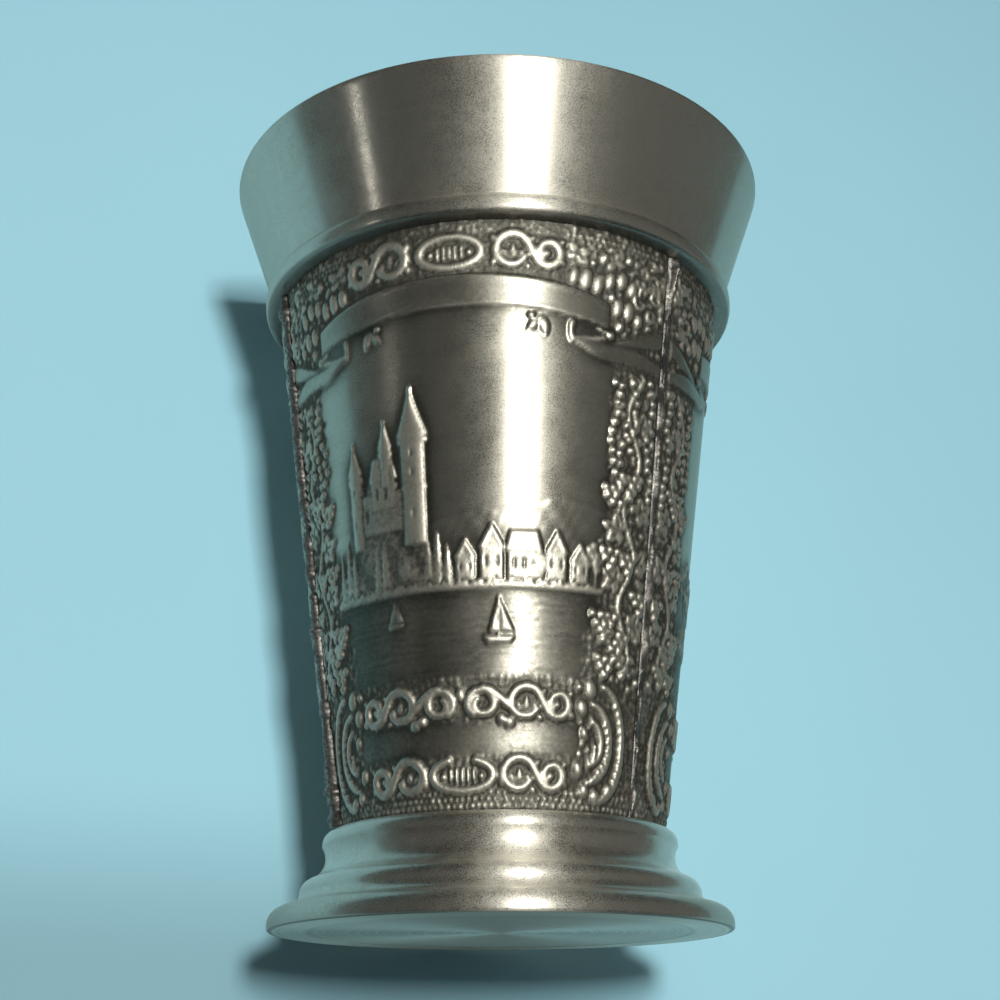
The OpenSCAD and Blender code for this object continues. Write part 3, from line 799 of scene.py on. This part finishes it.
class Picture:
    """Draws low-relief scenery on a panel's field; x is millimetres round the cup, y the height."""

    def __init__(self, relief):
        self.relief = relief
        self.x = np.radians(relief.u)[None, :] * PICTURE_R + 0 * relief.z[:, None]
        self.y = relief.z[:, None] + 0 * self.x

    def lift(self, height):
        """Raises the field to at least a height."""
        self.relief.h = np.maximum(self.relief.h, height)

    def cover(self, inside, height, edge=0.12):
        """Flat form that stands in front of what is already there."""
        self.relief.h = np.where(inside > 0, np.maximum(plateau(inside, height, edge), 0.05), self.relief.h)

    def sink(self, inside, depth, edge=0.08):
        """Cuts a recess where inside is positive."""
        self.relief.h = self.relief.h - depth * np.clip(inside / edge, 0, 1)

    def box(self, left, right, low, high):
        """Distance in from a rectangle's outline."""
        return least(self.x - left, right - self.x, self.y - low, high - self.y)

    def wall(self, left, right, low, high, height):
        """Flat wall."""
        self.cover(self.box(left, right, low, high), height)

    def gable(self, left, right, low, rise, height):
        """Triangular roof or gable with a line along each slope."""
        middle, slope = (left + right) / 2, 2 * rise / (right - left)
        roof = (low + rise - self.y - slope * np.abs(self.x - middle)) / hypot(1, slope)
        self.cover(least(self.y - low, roof), height)
        self.sink(least(self.y - low - 0.1, roof - 0.26, 0.5), 0.09)

    def round_tower(self, x, radius, low, high, roof, height):
        """Round tower with a ledge, a string course and a pointed roof with a ball."""
        across = np.abs(self.x - x)
        body = np.where(self.box(x - radius, x + radius, low, high) > 0, rounded(across, radius, height), 0)
        for ledge, share in ((high - 0.55, 1.24), ((low + high) / 2, 1.1)):
            inside = self.box(x - radius * share, x + radius * share, ledge, ledge + 0.5 * share - 0.25)
            body = np.where(inside > 0, rounded(across, radius * share, height * 1.12), body)
        taper = radius * 1.28 * np.clip((high + roof - self.y) / roof, 0, 1) ** 1.15 + 1e-6
        cap = (self.y >= high) & (self.y < high + roof)
        body = np.where(cap, rounded(across, np.maximum(taper, 0.1), height * 1.12), body)
        self.relief.h = np.where(body > 0.02, np.maximum(body, 0.08), self.relief.h)
        self.lift(rounded(np.hypot(across, self.y - high - roof), 0.16, height * 0.8))

    def windows(self, xs, ys, width, tall, depth=0.16):
        """Dark window openings."""
        for x in xs:
            for y in ys:
                self.sink(self.box(x - width / 2, x + width / 2, y - tall / 2, y + tall / 2), depth)

    def house(self, x, width, low, wall, roof, height):
        """House with its gable to the front."""
        self.wall(x - width / 2, x + width / 2, low, low + wall, height)
        self.gable(x - width * 0.62, x + width * 0.62, low + wall - 0.1, roof, height * 1.2)
        self.windows((x - width / 4, x + width / 4), (low + wall * 0.6,), width * 0.18, wall * 0.34)

    def long_house(self, left, right, low, wall, roof, height):
        """House with its long side to the front and rows of tiles."""
        eaves = low + wall
        self.wall(left, right, low, eaves, height)
        splay = 0.2 - 0.4 * np.clip((self.y - low - wall) / roof, 0, 1)
        inside = least(self.y - low - wall + 0.1, eaves + roof - self.y,
                       self.x - left + splay, right + splay - self.x)
        self.cover(inside, height * 1.25)
        tiles = (inside > 0.1) & (np.cos(2 * pi * self.y / 0.42) > 0.5)
        self.relief.h = self.relief.h - np.where(tiles, 0.05, 0)
        self.windows(np.arange(left + 0.5, right - 0.2, 0.72), (low + wall * 0.55,), 0.3, wall * 0.42)

    def firs(self, height, places):
        """Fir trees with drooping tiers, each from a place, a foot and a height."""
        for x, low, tall in places:
            t = np.clip((self.y - low) / tall, 0, 1)
            tiers = 0.45 + 0.55 * np.abs((t * 6.0) % 1 - 1)
            half = 0.24 * tall * (1 - t) * tiers + 1e-6
            inside = (self.y > low) & (self.y < low + tall)
            ragged = 1 - 0.25 * np.abs(np.sin(self.x * 9 + self.y * 5))
            self.lift(rounded(self.x - x, half, height) * inside * ragged)

    def round_tree(self, x, low, tall, height):
        """Leafy tree as a heap of small domes on a trunk."""
        self.lift(plateau(self.box(x - 0.12, x + 0.12, low, low + tall * 0.5), height * 0.7))
        random = self.relief.random
        for _ in range(26):
            angle, reach = random.uniform(0, 2 * pi), sqrt(random.random())
            dx, dy = reach * cos(angle) * tall * 0.3, reach * sin(angle) * tall * 0.33
            gap = np.hypot(self.x - x - dx, self.y - low - tall * 0.66 - dy)
            self.lift(rounded(gap, 0.34, height * (1 - 0.3 * reach)))

    def ridge_line(self, xs, ys, low, height, roughness):
        """Hills or mountains below a skyline through the given points, with lit and shaded flanks."""
        line = blurred(np.interp(self.x, xs, ys), 6)
        ripple = sum(np.sin(self.x * f + 1.7 * f) / f for f in (2.3, 4.1, 7.7)) * roughness
        inside = least(line + ripple - self.y, self.y - low, self.relief.field * 2)
        folds = np.sin(self.x * 2.9 + self.y * 1.6 + 1.3 * np.sin(self.y * 0.9 + self.x))
        fine = np.sin(self.x * 7.0 - self.y * 4.1 + 1.1 * np.sin(self.x * 2.3))
        self.lift(plateau(inside, height, 0.3) * (0.84 + 0.10 * folds + 0.05 * fine))

    def boat(self, x, y, size, height):
        """Small sailing boat with two sails."""
        across = np.abs(self.x - x)
        hull = least(y + 0.32 * size - self.y, self.y - y + 0.15 * size,
                     (0.85 * size + 0.7 * (self.y - y)) - across)
        self.lift(plateau(hull, height, 0.1))
        self.lift(plateau(self.box(x - 0.08, x + 0.08, y, y + 2.6 * size), height * 0.9, 0.06))
        rise = (self.y - y - 0.45 * size) / (2.0 * size)
        for side, reach in ((1, 0.95), (-1, 0.62)):
            offset = side * (self.x - x) - 0.1
            sail = least(offset, reach * size * (1 - rise) - offset, rise * size)
            self.lift(plateau(sail, height * 0.85, 0.1) + np.where(sail > 0, 0.12 * np.clip(sail, 0, 0.4), 0))

    def shore(self, y, height):
        """Bank with rough stones, and fine broken ripples on the water below it."""
        line = 0.12 * np.sin(self.x * 5.3) + 0.08 * np.sin(self.x * 11.7 + 1)
        self.cover(least(self.box(-12, 12, y - 0.35, y + 0.3 + line), self.relief.field * 2), height)
        inside = least(y - 0.4 - self.y, self.y - FIELD_LOW)
        phase = self.y * 13 + 0.9 * np.sin(self.x * 1.1 + self.y * 2.0) + 0.6 * np.sin(self.x * 3.7)
        broken = smooth(np.sin(self.x * 1.3 + self.y * 4.2) + np.sin(self.x * 0.7 - self.y * 2.9), -0.4, 1.0)
        ripple = 0.03 * np.sin(phase) * broken * smooth(inside, 0, 0.5)
        self.relief.h = self.relief.h + ripple * self.relief.field


def each(draw, rows):
    """Draws one form for each row of values."""
    for row in rows:
        draw(*row)


def draw_lake(relief):
    """Castle on a wooded rock above a lake, with a village and two sailing boats."""
    picture = Picture(relief)
    each(picture.ridge_line, (
        ((-12, -9.5, -7, -2, 1.5, 4.2, 7.6, 12),
         (26, 27.5, 26, 26.6, 27.6, 27.2, 28.6, 27.4), 21.8, 0.12, 0.1),
        ((-12, -9.4, -8.0, -5.2, -3.0, -0.6, 12),
         (22.6, 24.2, 26.6, 27.2, 26.8, 22.6, 22.4), 21.8, 0.24, 0.16)))
    picture.wall(-7.6, -3.0, 26.4, 29.4, 0.30)
    for x in np.arange(-7.3, -2.9, 0.72):
        picture.wall(x - 0.2, x + 0.2, 29.3, 29.9, 0.30)
    picture.long_house(-6.4, -4.4, 28.0, 2.2, 1.6, 0.34)
    picture.windows((-6.9, -3.6), (27.8,), 0.3, 0.8)
    each(picture.round_tower, ((-7.9, 0.62, 25.6, 31.0, 2.3, 0.44), (-5.1, 0.5, 29.6, 32.4, 2.1, 0.44),
                               (-3.0, 0.95, 25.2, 33.0, 3.6, 0.52)))
    picture.windows((-3.0,), (27.4, 30.4, 31.8), 0.26, 0.7, 0.2)
    picture.windows((-7.9,), (27.4, 29.8), 0.22, 0.6, 0.18)
    picture.firs(0.4, ((-10.0, 22.2, 3.8), (-9.2, 22.0, 4.6), (-8.6, 22.2, 3.4), (-6.3, 22.2, 3.2),
                       (-5.6, 22.0, 3.9), (-2.1, 22.2, 3.4), (-1.4, 22.0, 4.2), (-0.7, 22.2, 3.0)))
    picture.long_house(3.6, 6.0, 22.4, 2.0, 1.5, 0.30)
    each(picture.house, ((0.6, 1.4, 22.3, 1.7, 1.5, 0.34), (2.5, 1.7, 22.3, 2.3, 2.0, 0.36),
                         (7.2, 1.5, 22.4, 2.0, 1.8, 0.34), (9.0, 1.4, 22.3, 1.6, 1.5, 0.34)))
    each(picture.round_tree, ((5.9, 22.0, 2.2, 0.4), (10.3, 22.0, 3.6, 0.42), (-3.8, 22.0, 2.4, 0.36)))
    picture.shore(22.1, 0.3)
    each(picture.boat, ((3.0, 18.2, 1.15, 0.36), (-5.0, 19.6, 0.66, 0.3)))


def draw_mill(relief):
    """Windmill on a low hill between trees, with a stream."""
    picture = Picture(relief)
    each(picture.ridge_line, (
        ((-12, -8, -3, 2, 7, 12), (25.5, 26.8, 25.0, 27.4, 25.2, 26.6), 20, 0.13, 0.15),
        ((-12, -6, 0, 4, 12), (21.0, 22.4, 24.6, 24.4, 21.4), 19.5, 0.24, 0.12)))
    taper = np.clip(1.45 - 0.085 * (picture.y - 24), 0.1, None)
    picture.lift(rounded(picture.x - 1.2, taper, 0.46) * (picture.y > 23.6) * (picture.y < 31.2))
    picture.round_tower(1.2, 0.8, 30.8, 31.4, 1.5, 0.46)
    picture.windows((1.2,), (25.6, 28.4), 0.36, 0.8, 0.2)
    for turn in (20, 110, 200, 290):
        along, across = turned(picture.x - 1.2, picture.y - 31.0, turn)
        blade = least(along - 0.9, 4.6 - along, across, 0.8 - across)
        lattice = 0.1 * (np.cos(2 * pi * along / 0.6) > 0.2)
        picture.lift(plateau(blade, 0.42, 0.08) - np.where(blade > 0.1, lattice, 0))
        picture.lift(plateau(least(along, 4.8 - along, 0.14 - np.abs(across)), 0.54, 0.08))
    each(picture.round_tree, ((-8.8, 21.5, 5.2, 0.42), (-7.2, 21.8, 4.2, 0.42), (8.2, 21.6, 4.6, 0.42),
                              (9.8, 21.2, 3.6, 0.42)))
    picture.long_house(-5.8, -2.6, 22.4, 1.8, 1.7, 0.34)
    picture.shore(20.4, 0.28)


def draw_chalet(relief):
    """Mountain valley with a wooden house, fir trees and a brook."""
    picture = Picture(relief)
    each(picture.ridge_line, (
        ((-12, -8.5, -5.5, -2.5, 0.5, 3.6, 6.5, 12),
         (28, 33.4, 29, 36.2, 30.4, 34.6, 29.2, 32), 20, 0.15, 0.2),
        ((-12, -5, 1, 6, 12), (24.6, 23.2, 24.2, 22.8, 24.8), 19, 0.22, 0.14)))
    picture.wall(-3.4, 2.6, 21.0, 24.0, 0.34)
    picture.gable(-4.6, 3.8, 23.8, 3.4, 0.44)
    picture.wall(-4.0, 3.2, 23.0, 23.4, 0.48)
    picture.windows((-2.4, -0.4, 1.6), (22.0,), 0.6, 0.9)
    picture.windows((-1.1, 0.3), (24.7,), 0.5, 0.8, 0.2)
    picture.firs(0.44, ((-9.4, 20.4, 6.8), (-7.6, 20.6, 5.2), (-6.2, 20.2, 4.2), (5.8, 20.4, 5.6),
                        (7.6, 20.6, 7.4), (9.5, 20.2, 5.8)))
    picture.shore(20.2, 0.28)


def carve(seed, draw_picture):
    """Whole relief of one panel, and how far its metal is rubbed bright, with painted shade under the collar
    and over the water, and a painted reflection at the field's lower left.
    """
    relief = Relief(seed)
    a, z = np.abs(relief.u)[None, :], relief.z[:, None]
    sides = smooth(a, 42.5, 44.5) * smooth(z, 15.0, 16.0)
    corners = smooth(a, 27.5, 29.0) * smooth(z, 41.6, 42.6)
    relief.stipple(0.5, 0.09, 0.92)
    relief.stipple(0.6, 0.17, 0.95, np.maximum(sides, corners))
    draw_field(relief)
    ground = relief.h.copy()
    draw_picture(relief)
    relief.h = ground + PICTURE_DEPTH * (relief.h - ground)
    for draw in (draw_bead_ground, draw_vines, draw_corners, draw_friezes, draw_side_arcs,
                 draw_buds, draw_ribbon):
        draw(relief)
    relief.field = relief.field * (1 - 0.8 * (1 - relief.dull) * smooth(relief.h - ground, 0.03, 0.1))
    relief.h = RELIEF_DEPTH * eased(relief.h) * smooth(PANEL_HALF - a, 0, 1.2)
    rise, fine = relief.h - blurred(relief.h, 6), relief.h - blurred(relief.h, 2)
    wear = 0.24 + 0.76 * smooth(rise, -0.10, 0.04) * (0.6 + 0.4 * smooth(fine, -0.03, 0.012))
    wear = wear * (0.45 + 0.55 * np.maximum(relief.field, 0.7 * smooth(relief.h, 0.06, 0.2)))
    # Darker at the panel's side edges, next to the seams
    wear = wear * (0.6 + 0.4 * smooth(PANEL_HALF - a, 0.2, 1.2))
    # Painted shade: the ground just under the collar's bead is darkened
    wear = wear * (0.4 + 0.6 * smooth(COLLAR_Z - z, 0.1, 0.6))
    # Painted reflection: the field's lower left is darkened, as if it mirrored the dark shadow beside the cup
    shore = smooth(relief.u[None, :], -20, -32) * smooth(z, 27, 24) * relief.field
    # Below the shore the field is made rougher, and its colour is darkened as painted shade that dims the
    # highlight there
    water = smooth(z, 22.4, 21.2) * (0.6 + 0.4 * smooth(z, 13.5, 15.5))
    relief.field = relief.field * (1 - 0.15 * water)
    wear = wear * (1 - 0.5 * shore) * (1 - 0.42 * water * relief.field) * (1 - 0.27 * relief.dull)
    return relief, wear


def grid_faces(rows, columns, v, u):
    """Quads between a grid's rows and columns with corner UVs, closed where v or u has one value more."""
    faces, uvs = [], []
    for i in range(len(v) - 1):
        j = (i + 1) % rows
        for k in range(len(u) - 1):
            m = (k + 1) % columns
            faces.append((i * columns + k, i * columns + m, j * columns + m, j * columns + k))
            uvs += [(u[k], v[i]), (u[k + 1], v[i]), (u[k + 1], v[i + 1]), (u[k], v[i + 1])]
    return faces, uvs


# Shares of a UV area: a panel's carved rows, its rows across, and a seam's rows
CARVED_V, ROWS_U, SEAM_V = 0.92, 0.96, 0.94
# Wear of a panel's bore and tenons
BORE_RUB = 0.9


def panel_mesh(relief, wear, turn):
    """Closed panel: carved outside, tenons at both ends and a smooth bore."""
    angles = np.radians(turn + relief.u)
    edge = [(RIM_TENON_R, COLLAR_Z), (RIM_TENON_R, PANEL_TOP), (bore_r(PANEL_TOP), PANEL_TOP),
            (bore_r(PANEL_BOTTOM), PANEL_BOTTOM), (FOOT_TENON_R, PANEL_BOTTOM), (FOOT_TENON_R, FOOT_H - 0.02)]
    rest = np.zeros((len(edge), COLUMNS + 1))
    radii = np.concatenate([ground_r(relief.z)[:, None] + relief.h, rest + [[r] for r, _ in edge]])
    heights = np.concatenate([relief.z, [z for _, z in edge]])
    count = len(heights)
    vertices = np.stack([
        radii * np.sin(angles), -radii * np.cos(angles),
        np.broadcast_to(heights[:, None], radii.shape)], axis=-1).reshape(-1, 3)
    v = np.concatenate([CARVED_V * np.linspace(0, 1, ROWS + 1),
                        np.linspace(CARVED_V + 0.01, 0.99, len(edge) + 1)])
    faces, uvs = grid_faces(count, COLUMNS + 1, v, ROWS_U * np.linspace(0, 1, COLUMNS + 1))
    for column, base, step in ((0, 0.0, -1), (COLUMNS, 0.5, 1)):
        loop = [i * (COLUMNS + 1) + column for i in range(count)][::step]
        faces.append(tuple(loop))
        points = np.stack([np.hypot(vertices[loop, 0], vertices[loop, 1]), vertices[loop, 2]], axis=-1)
        points = (points - points.min(axis=0)) / np.ptp(points, axis=0)
        uvs += [(0.968 + 0.028 * p, base + 0.01 + 0.47 * q) for p, q in points]
    values = {"wear": np.concatenate([wear, rest + BORE_RUB]).ravel(),
              "field": np.concatenate([relief.field, rest + 1.0]).ravel()}
    return vertices, faces, uvs, values


def make_panels():
    """The three carved panels."""
    for side, turn, seed, draw in (("front", 0, 11, draw_lake), ("right", PANEL_PITCH, 12, draw_mill),
                                   ("left", -PANEL_PITCH, 13, draw_chalet)):
        *mesh, values = panel_mesh(*carve(seed, draw), PANEL_TURN + turn)
        make_piece(f"panel_{side}", *mesh, ANTIQUE, "antique_pewter", f"relief_panel_{side}",
                   sharp_deg=60.0, values=values)


# Solder seams: points up a seam and round its bead, and height of the blade of flash at its top
SEAM_STEPS, BEAD_STEPS, FLASH_H = 240, 13, 3.2
# Wear of the solder that is scraped flush inside the cup
BORE_WEAR = 2.2


def wander(random, span):
    """Random value at each step up a seam, averaged over a span of steps."""
    return np.convolve(random.normal(0, 1, SEAM_STEPS + span - 1), np.ones(span) / span, mode="valid")


def make_seam(side, turn, seed, width, rise, bright, knobs, curl):
    """Solder seam: fills the gap through the wall and stands out as a rough bead, with a drop at the foot.

    Bright is how far its crest is rubbed, knobs how uneven it is, and curl how far its top stands out as a
    thin blade of flash.
    """
    random = np.random.default_rng(seed)
    half, turn = radians(SEAM_ANGLE / 2), radians(turn)
    heights = np.linspace(FOOT_H + SOLDER_GAP, COLLAR_Z - SOLDER_GAP, SEAM_STEPS)
    bead = np.radians(np.linspace(-90, 90, BEAD_STEPS))
    lump, sway = wander(random, 7), wander(random, 25)
    drop = np.exp(-((heights - FOOT_H - 0.5) / 0.5) ** 2)
    blade = np.clip((heights - COLLAR_Z + FLASH_H) / FLASH_H, 0, 1)
    stand = curl * 0.5 * np.sin(pi * blade ** 1.4) ** 0.8
    crest = np.cos(bead[1:-1]) ** 0.5
    sections, wear = [], []
    for k, z in enumerate(heights):
        uneven, root = 1 + knobs * lump[k], ground_r(z) + SOLDER_GAP
        reach = max(0.06, width * (uneven + 0.9 * drop[k])) / ground_r(z)
        top = max(0.03, rise * (uneven + 0.5 * drop[k]) + stand[k])
        lean = ((0.3 + 0.5 * curl) * sway[k] + 0.25 * curl * blade[k] ** 2) / ground_r(z)
        grain = random.normal(0, min(0.035, 0.1 * rise), BEAD_STEPS) * np.cos(bead)
        flank = [(bore_r(z), half), (ground_r(z), half), (root, reach)]
        crown = [(root + top * cos(b) + g, reach * sin(b) + lean * cos(b))
                 for b, g in zip(bead[1:-1], grain[1:-1])]
        sections.append((z, [(r, -a) for r, a in flank] + crown + flank[::-1]))
        lightness = max(bright * min(1.0, max(0.2, 0.8 + knobs * lump[k])), min(1.0, 2.4 * stand[k]))
        # Painted shade: where a flat seam's bead meets the panels its flanks are darkened, standing in for
        # the grooves beside it
        gap = 0.15 + 0.8 * curl * min(1.0, max(0.1, 0.4 + 1.2 * lump[k]))
        wear += [BORE_WEAR, gap, gap, *(0.1 + 0.9 * lightness * crest), gap, gap, BORE_WEAR]
    count = len(sections[0][1])
    sides = np.linspace(-half, half, count - 2)

    def tenon(outer_r, *levels):
        """Sections of the part that fills the joint inside a socket."""
        return [(z, [(bore_r(z), -half), *((outer_r, a) for a in sides), (bore_r(z), half)]) for z in levels]

    sections = tenon(FOOT_TENON_R, PANEL_BOTTOM, FOOT_H) + sections + tenon(RIM_TENON_R, COLLAR_Z, PANEL_TOP)
    plain = [BORE_WEAR] * (2 * count)
    rows = len(sections)
    vertices = [(r * sin(turn + a), -r * cos(turn + a), z) for z, section in sections for r, a in section]
    faces, uvs = grid_faces(rows, count, SEAM_V * np.arange(rows) / (rows - 1), np.arange(count + 1) / count)
    last = (rows - 1) * count
    faces += [tuple(reversed(range(count))), tuple(last + k for k in range(count))]
    spots = np.linspace(0, 2 * pi, count, endpoint=False)
    for centre in (0.2, 0.6):
        uvs += [(centre + 0.02 * cos(a), 0.97 + 0.02 * sin(a)) for a in spots]
    make_piece(f"solder_{side}", vertices, faces, uvs, SOLDER, "solder", f"seam_{side}",
               sharp_deg=80.0, values={"wear": plain + wear + plain})


def make_seams():
    """The three solder seams between the panels: a broad one at the left, thin ones elsewhere."""
    for side, share, seed, *form in (("left", -0.5, 21, 0.62, 0.55, 0.85, 0.6, 0.0),
                                     ("right", 0.5, 22, 0.1, 0.12, 0.75, 2.4, 1.0),
                                     ("back", 1.5, 23, 0.2, 0.26, 0.5, 1.0, 0.3)):
        make_seam(side, PANEL_TURN + share * PANEL_PITCH, seed, *form)


# Stage, light and camera
FLOOR_COLOUR = (0.37, 0.70, 0.83)
FLOOR_TURN = 18.0
FLOOR_LEFT, FLOOR_RIGHT, FLOOR_REACH = 0.156, 0.128, 0.3
# Metres that the floor stays clear of the cup
FLOOR_CLEAR = 0.0002
ROOM_COLOUR, ROOM_RIGHT, ROOM_DARK = (0.092, 0.096, 0.092), (0.155, 0.158, 0.15), (0.022, 0.022, 0.021)


def floor_material():
    """Pale paint with a painted shadow that darkens its lower left; shadow rays pass it and it is clear from
    behind.
    """
    material, tree, point = new_material("floor_pale")
    x, _, z = split(point)
    colour = blend(noise(point, 0.02).ramp(0.3, 0.7), scaled(FLOOR_COLOUR, 0.97), FLOOR_COLOUR)
    # Painted shadow: the floor darkens towards its lower left, which also deepens the cup's shadow there
    painted_shadow = x.ramp(20, -15) * z.ramp(15, -2, 0.0, 0.5)
    colour = blend(painted_shadow, colour, scaled(FLOOR_COLOUR, 0.3))
    paint = wire(tree, "ShaderNodeBsdfPrincipled", "BSDF", {"Base Color": colour, "Roughness": 0.75})
    clear = wire(tree, "ShaderNodeBsdfTransparent", "BSDF")
    shadow = wire(tree, "ShaderNodeLightPath", "Is Shadow Ray")
    hidden = shadow.most(wire(tree, "ShaderNodeNewGeometry", "Backfacing"))
    mix = wire(tree, "ShaderNodeMixShader", "Shader", {0: hidden, 1: paint, 2: clear})
    add_node(tree, "ShaderNodeOutputMaterial", {"Surface": mix})
    return material


def make_floor():
    """Floor that the cup lies on: the plane that touches its lip and its base from behind."""
    turn = radians(FLOOR_TURN)
    side, back = Vector((cos(turn), sin(turn), 0)), Vector((-sin(turn), cos(turn), 0))
    low = (back * BASE_R + Vector((0, 0, FLANGE_H - FLANGE_ROUND))) * MM
    high = (back * LIP_R + Vector((0, 0, CUP_H - LIP_ROUND))) * MM
    up = (high - low).normalized()
    middle = (low + high) / 2 + side.cross(up) * -FLOOR_CLEAR
    corners = [middle + side * x + up * z * FLOOR_REACH
               for x, z in ((-FLOOR_LEFT, -1), (FLOOR_RIGHT, -1), (FLOOR_RIGHT, 1), (-FLOOR_LEFT, 1))]
    mesh = bpy.data.meshes.new("floor")
    mesh.from_pydata(corners, [], [(0, 1, 2, 3)])
    mesh.materials.append(floor_material())
    link("floor", mesh)


def make_world():
    """Dim room for the metal to mirror: lighter at the right, dark towards the ceiling and the ground."""
    bpy.context.scene.world = bpy.data.worlds.new("room")
    tree = empty_tree(bpy.context.scene.world)
    direction = wire(tree, "ShaderNodeTexCoord", "Generated")
    colour = ROOM_COLOUR
    for axis, low, high, tone in (((0.9, -0.42, 0.0), 0.2, 0.95, ROOM_RIGHT),
                                  ((0.0, 0.0, 1.0), 0.35, 0.75, ROOM_DARK),
                                  ((0.0, 0.0, -1.0), 0.25, 0.6, ROOM_DARK)):
        cosine = wire(tree, "ShaderNodeVectorMath", "Value", {0: direction, 1: axis}, operation="DOT_PRODUCT")
        colour = blend(cosine.ramp(low, high), colour, tone)
    background = wire(tree, "ShaderNodeBackground", "Background", {"Color": colour})
    add_node(tree, "ShaderNodeOutputWorld", {"Surface": background})


def add_lamp(name, azimuth, elevation, distance, size, power, colour=(1.0, 0.97, 0.92), shape="RECTANGLE",
             aim=30.0, spread=180.0):
    """Soft light that faces the cup's axis at a height; azimuth 0 is the front, positive to the right."""
    a, e = radians(azimuth), radians(elevation)
    away = Vector((sin(a) * cos(e), -cos(a) * cos(e), sin(e)))
    lamp = bpy.data.lights.new(name, "AREA")
    lamp.shape, lamp.energy, lamp.spread, lamp.color = shape, power, radians(spread), colour
    lamp.size, lamp.size_y = size
    light = link(name, lamp)
    light.location = Vector((0, 0, aim * MM)) + away * distance
    light.rotation_euler = away.to_track_quat("Z", "Y").to_euler()


def make_lights():
    """Shaded lamp at the front right, a slit on the collar's left, and a light for the back views."""
    lamp_white = (1.0, 0.99, 0.95)
    add_lamp("key", 15.3, 3, 0.38, (0.042, 0.05), 1.27, lamp_white)
    add_lamp("shade", 15.3, 3, 0.39, (0.17, 0.17), 0.085, lamp_white, "ELLIPSE")
    add_lamp("slit", -53, -1, 0.25, (0.014, 0.055), 0.00012, aim=56.0, spread=16.0)
    add_lamp("back", 178, 25, 0.5, (0.3, 0.3), 1.3)


# The photograph's camera, fitted to the cup's outline: millimetres and degrees
CAMERA_PLACE = Vector((5.54, -115.8, -9.24))
CAMERA_PITCH, CAMERA_YAW, CAMERA_ROLL = 20.216, -2.691, -0.263
CAMERA_LENS, CAMERA_SENSOR, CAMERA_NEAR = 55.68, 36.0, 5.0


def make_camera():
    """Camera at the photograph's viewing angle."""
    pitch, yaw, roll = (radians(a) for a in (CAMERA_PITCH, CAMERA_YAW, CAMERA_ROLL))
    forward = Vector((cos(pitch) * sin(yaw), cos(pitch) * cos(yaw), sin(pitch)))
    right = Vector((cos(yaw), -sin(yaw), 0))
    up = right.cross(forward)
    turned_right = cos(roll) * right + sin(roll) * up
    turned_up = cos(roll) * up - sin(roll) * right
    camera = link("camera", bpy.data.cameras.new("camera"))
    camera.data.lens, camera.data.sensor_width = CAMERA_LENS, CAMERA_SENSOR
    camera.data.clip_start = CAMERA_NEAR * MM
    axes = Matrix((turned_right, turned_up, -forward)).transposed().to_4x4()
    camera.matrix_world = Matrix.Translation(CAMERA_PLACE * MM) @ axes
    bpy.context.scene.camera = camera


bpy.context.scene.view_settings.view_transform = "Standard"
make_camera()
make_world()
make_lights()
make_floor()
make_turned_pieces()
make_panels()
make_seams()
